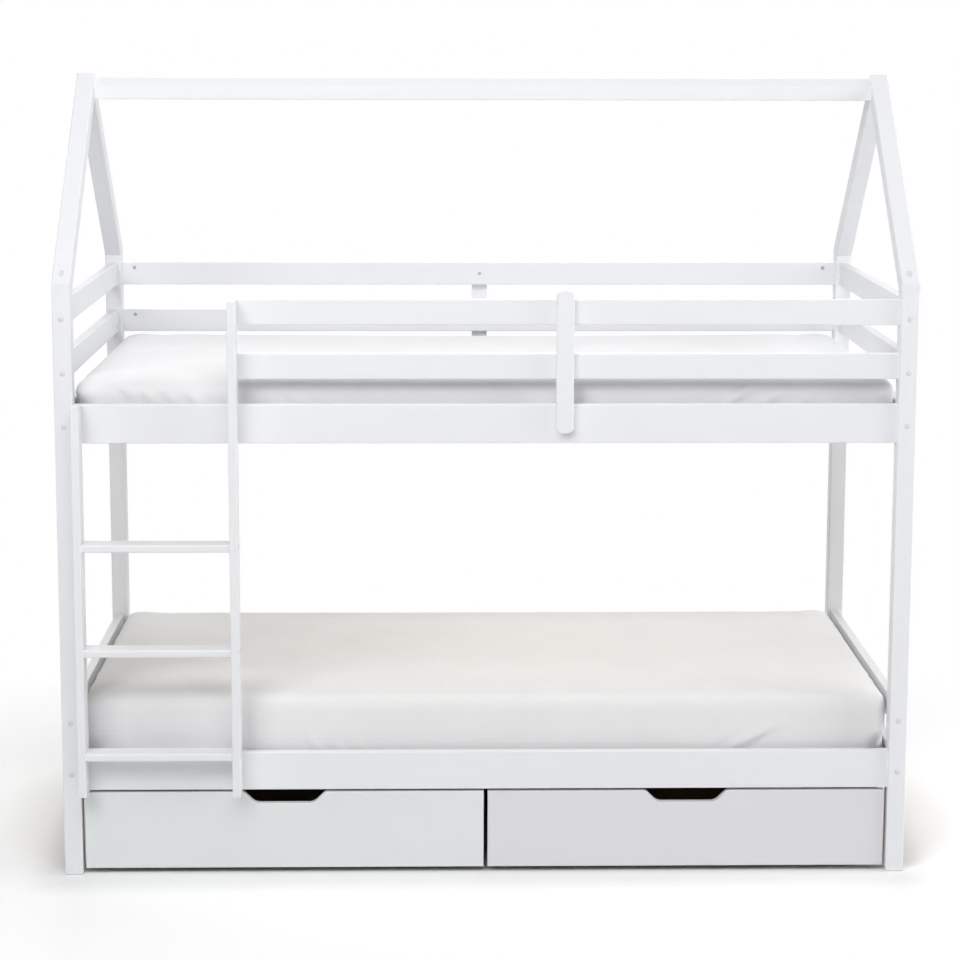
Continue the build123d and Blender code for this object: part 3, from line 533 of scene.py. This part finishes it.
def fold_sheet(piece, low, high, folds):
    """Raises folds on the sheet: each is (side, start, end, height, half width), and start and end are
    (place along the side, distance down from the top edge)."""
    mesh = bmesh.new()
    mesh.from_mesh(piece.data)
    mesh.normal_update()
    middle = (low + high) / 2
    half = (high - low) / 2
    moves = {}
    for side, start, end, height, width in folds:
        along, out = sheet_sides[side]
        reach = abs(half.dot(out))
        start = Vector(start)
        run = Vector(end) - start
        for vertex in mesh.verts:
            place = vertex.co - middle
            inward = reach - place.dot(out)
            if inward > fold_depth:
                continue
            spot = Vector((place.dot(along), half.z - place.z - inward)) - start
            share = spot.dot(run) / run.length_squared
            if not -fold_tail < share < 1 + fold_tail:
                continue
            offset = run.x * spot.y - run.y * spot.x
            offset /= run.length * width
            taper = sin(pi * (share + fold_tail) / (1 + 2 * fold_tail)) ** 1.3
            ridge = exp(-(offset**2)) - trough_depth * exp(-((offset - trough_place) ** 2))
            moves[vertex] = moves.get(vertex, 0) + height * taper * ridge
    for vertex, move in moves.items():
        vertex.co += vertex.normal * move
        vertex.co.z = max(vertex.co.z, low.z)
    mesh.to_mesh(piece.data)
    mesh.free()


def gather_corners(piece, low, high, rise, draws):
    """Pulls the lower end of each corner inwards, as the elastic hem does, from nothing at the rise.
    The left corners and the right corners have a draw each."""
    middle = (low + high) / 2
    half = (high - low) / 2
    for vertex in piece.data.vertices:
        place = vertex.co - middle
        drop = 1 - (vertex.co.z - low.z) / rise
        away = Vector((half.x - abs(place.x), half.y - abs(place.y))).length
        if drop > 0 and away < corner_reach:
            pull = draws[place.x > 0] * drop * (1 - away / corner_reach)
            vertex.co.x -= pull if place.x > 0 else -pull
            vertex.co.y -= pull if place.y > 0 else -pull


def fitted_mattress(node, folds, rise, draws):
    """A mattress in its fitted sheet, in the place of its CAD solid."""
    low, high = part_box(node)
    inner_low = low + Vector((swell_room.x, swell_room.y, 0))
    inner_high = high - swell_room
    size = inner_high - inner_low
    mesh = bmesh.new()
    bmesh.ops.create_cube(mesh, size=1)
    bmesh.ops.scale(mesh, vec=size, verts=mesh.verts)
    bmesh.ops.translate(mesh, vec=(inner_low + inner_high) / 2, verts=mesh.verts)
    upright = [edge for edge in mesh.edges if abs(edge.verts[0].co.z - edge.verts[1].co.z) > size.z / 2]
    bmesh.ops.bevel(
        mesh, geom=upright, offset=plan_corner, segments=6, profile=0.5, affect="EDGES", material=-1
    )
    for z, softness in ((inner_high.z, top_edge), (inner_low.z, bottom_edge)):
        rim = [edge for edge in mesh.edges if all(abs(vertex.co.z - z) < 1e-5 for vertex in edge.verts)]
        bmesh.ops.bevel(
            mesh, geom=rim, offset=softness, segments=5, profile=0.5, affect="EDGES", material=-1
        )
    data = bpy.data.meshes.new(f"fitted_{node}")
    mesh.to_mesh(data)
    mesh.free()
    piece = bpy.data.objects.new(f"fitted_{node}", data)
    bpy.context.scene.collection.objects.link(piece)
    cells = piece.modifiers.new("cells", "REMESH")
    cells.mode = "VOXEL"
    cells.voxel_size = cell
    apply_modifiers(piece)
    swell(piece, low)
    finer = piece.modifiers.new("finer", "SUBSURF")
    finer.levels = 1
    finer.render_levels = 1
    apply_modifiers(piece)
    fold_sheet(piece, low, high, folds)
    gather_corners(piece, low, high, rise, draws)
    piece.data.shade_smooth()
    piece.data.materials.clear()
    piece.data.materials.append(cotton)
    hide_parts(node)
    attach(piece, "bed_frame")


upper_folds = [
    ("front", (-0.903, -0.02), (-0.834, 0.06), 0.005, 0.012),
    ("front", (-0.850, 0.00), (-0.799, 0.06), 0.005, 0.011),
    ("front", (-0.782, 0.01), (-0.745, 0.07), 0.004, 0.010),
    ("front", (-0.725, 0.02), (-0.690, 0.07), 0.004, 0.010),
    ("front", (-0.500, 0.01), (-0.440, 0.06), 0.002, 0.010),
    ("front", (-0.430, 0.01), (-0.372, 0.06), 0.002, 0.010),
    ("front", (0.560, 0.08), (0.650, 0.00), 0.005, 0.011),
    ("front", (0.655, 0.07), (0.720, 0.02), 0.004, 0.011),
    ("front", (0.745, 0.07), (0.790, 0.03), 0.003, 0.009),
]
lower_folds = [
    ("front", (0.545, 0.150), (0.605, 0.080), 0.004, 0.010),
    ("front", (0.580, 0.150), (0.740, 0.060), 0.006, 0.013),
    ("front", (-0.440, 0.100), (-0.400, 0.160), 0.002, 0.010),
    ("front", (-0.380, 0.110), (-0.350, 0.160), 0.002, 0.009),
    ("front", (-0.320, 0.120), (-0.280, 0.160), 0.002, 0.009),
    ("front", (-0.900, 0.100), (-0.880, 0.150), 0.002, 0.010),
]
# Three small folds beside each corner of the other sides
fold_spacing = 0.07
fold_height = 0.003
fold_width = 0.011
first_folds = {"rear": 0.9, "left": 0.36, "right": 0.36}  # how far from the side's middle
luck = Random(11)
for folds in (upper_folds, lower_folds):
    for side, reach in first_folds.items():
        for corner in (-1, 1):
            for number in range(3):
                start = corner * (reach - fold_spacing * number - luck.uniform(0, 0.03))
                lean = corner * luck.uniform(0.04, 0.09)
                bottom = luck.uniform(0.08, 0.10)
                top = luck.uniform(-0.01, 0.02)
                folds.append((side, (start, top), (start - lean, bottom), fold_height, fold_width))
fitted_mattress("lower_mattress", lower_folds, rise=0.096, draws=(0.015, 0.054))
fitted_mattress("upper_mattress", upper_folds, rise=0.082, draws=(0.040, 0.025))

# Floor, air and lamps
# A pale floor that keeps the bed's shadow and turns into white air away from the bed. Broad soft lamps
# stand high at the front left, the front and the rear, and low at the right.
floor_grey = "#F3F3F3"
floor_glow = 0.17  # lifts the floor beside the bed to white, but not the floor under it
glow_start = 0.10  # how far outside the bed's outline the glow is whole
air_start = 0.20  # how far outside it the floor starts to turn into air, and is air
air_whole = 0.90
air_light = 0.13
floor_reach = 20

floor_mesh = bmesh.new()
bmesh.ops.create_grid(floor_mesh, x_segments=1, y_segments=1, size=floor_reach)
floor_data = bpy.data.meshes.new("floor")
floor_mesh.to_mesh(floor_data)
floor_mesh.free()
floor = bpy.data.objects.new("floor", floor_data)
bpy.context.scene.collection.objects.link(floor)


def seen_rays(tree):
    """One where the ray comes from the camera or from a gloss or glass that shows the background."""
    rays = add_node(tree, "ShaderNodeLightPath", {})
    gloss = add_node(
        tree,
        "ShaderNodeMath",
        {0: rays.outputs["Is Glossy Ray"], 1: rays.outputs["Is Transmission Ray"]},
        operation="MAXIMUM",
    )
    seen = add_node(
        tree,
        "ShaderNodeMath",
        {0: rays.outputs["Is Camera Ray"], 1: gloss.outputs[0]},
        operation="MAXIMUM",
    )
    return seen.outputs[0]


floor_material, tree, shader, place = start_material("pale_floor")
shader.inputs["Base Color"].default_value = linear(floor_grey)
shader.inputs["Roughness"].default_value = 0.9
pure_white = {"Color": linear("#FFFFFF")}
apart = add_node(tree, "ShaderNodeVectorMath", {0: place}, operation="ABSOLUTE")
beyond = add_node(
    tree, "ShaderNodeVectorMath", {0: apart.outputs[0], 1: Vector(cad_box[1])}, operation="SUBTRACT"
)
outside = add_node(
    tree, "ShaderNodeVectorMath", {0: beyond.outputs[0], 1: (0, 0, 0)}, operation="MAXIMUM"
)
distance = add_node(tree, "ShaderNodeVectorMath", {0: outside.outputs[0]}, operation="LENGTH")
away = distance.outputs["Value"]
lift = add_node(tree, "ShaderNodeMapRange", {"Value": away, "From Max": glow_start, "To Max": floor_glow})
glow = add_node(tree, "ShaderNodeEmission", {**pure_white, "Strength": lift.outputs["Result"]})
lit = add_node(tree, "ShaderNodeAddShader", {0: shader.outputs[0], 1: glow.outputs[0]})
fade = add_node(tree, "ShaderNodeMapRange", {"Value": away, "From Min": air_start, "From Max": air_whole})
air = add_node(tree, "ShaderNodeEmission", {**pure_white, "Strength": 1})
faded = add_node(
    tree, "ShaderNodeMixShader", {0: fade.outputs["Result"], 1: lit.outputs[0], 2: air.outputs[0]}
)
mixed = add_node(
    tree, "ShaderNodeMixShader", {0: seen_rays(tree), 1: shader.outputs[0], 2: faded.outputs[0]}
)
tree.links.new(mixed.outputs[0], tree.nodes["Material Output"].inputs["Surface"])
floor.data.materials.append(floor_material)

world = bpy.data.worlds.new("air")
bpy.context.scene.world = world
world.use_nodes = True
tree = world.node_tree
tree.nodes.clear()
fill = add_node(tree, "ShaderNodeBackground", {**pure_white, "Strength": air_light})
backdrop = add_node(tree, "ShaderNodeBackground", {**pure_white, "Strength": 1})
sky = add_node(
    tree, "ShaderNodeMixShader", {0: seen_rays(tree), 1: fill.outputs[0], 2: backdrop.outputs[0]}
)
add_node(tree, "ShaderNodeOutputWorld", {"Surface": sky.outputs[0]})


def lamp(name, place, aim, size, power):
    """A square soft lamp that looks at a point."""
    light = bpy.data.lights.new(name, "AREA")
    light.shape = "SQUARE"
    light.size = size
    light.energy = power
    holder = bpy.data.objects.new(name, light)
    bpy.context.scene.collection.objects.link(holder)
    holder.location = place
    holder.rotation_euler = (Vector(aim) - Vector(place)).to_track_quat("-Z", "Y").to_euler()


bed_middle = (0, 0, 0.9)
lamp("front_left_lamp", (-2.6, -4.6, 4.4), bed_middle, 2.6, 132)
lamp("right_lamp", (5, -1, 2), bed_middle, 3.0, 140)
lamp("high_front_lamp", (0, -3.2, 4.8), bed_middle, 3.0, 98)
lamp("high_rear_lamp", (0, 3.6, 4.6), bed_middle, 3.5, 145)

bpy.context.scene.view_settings.view_transform = "Standard"
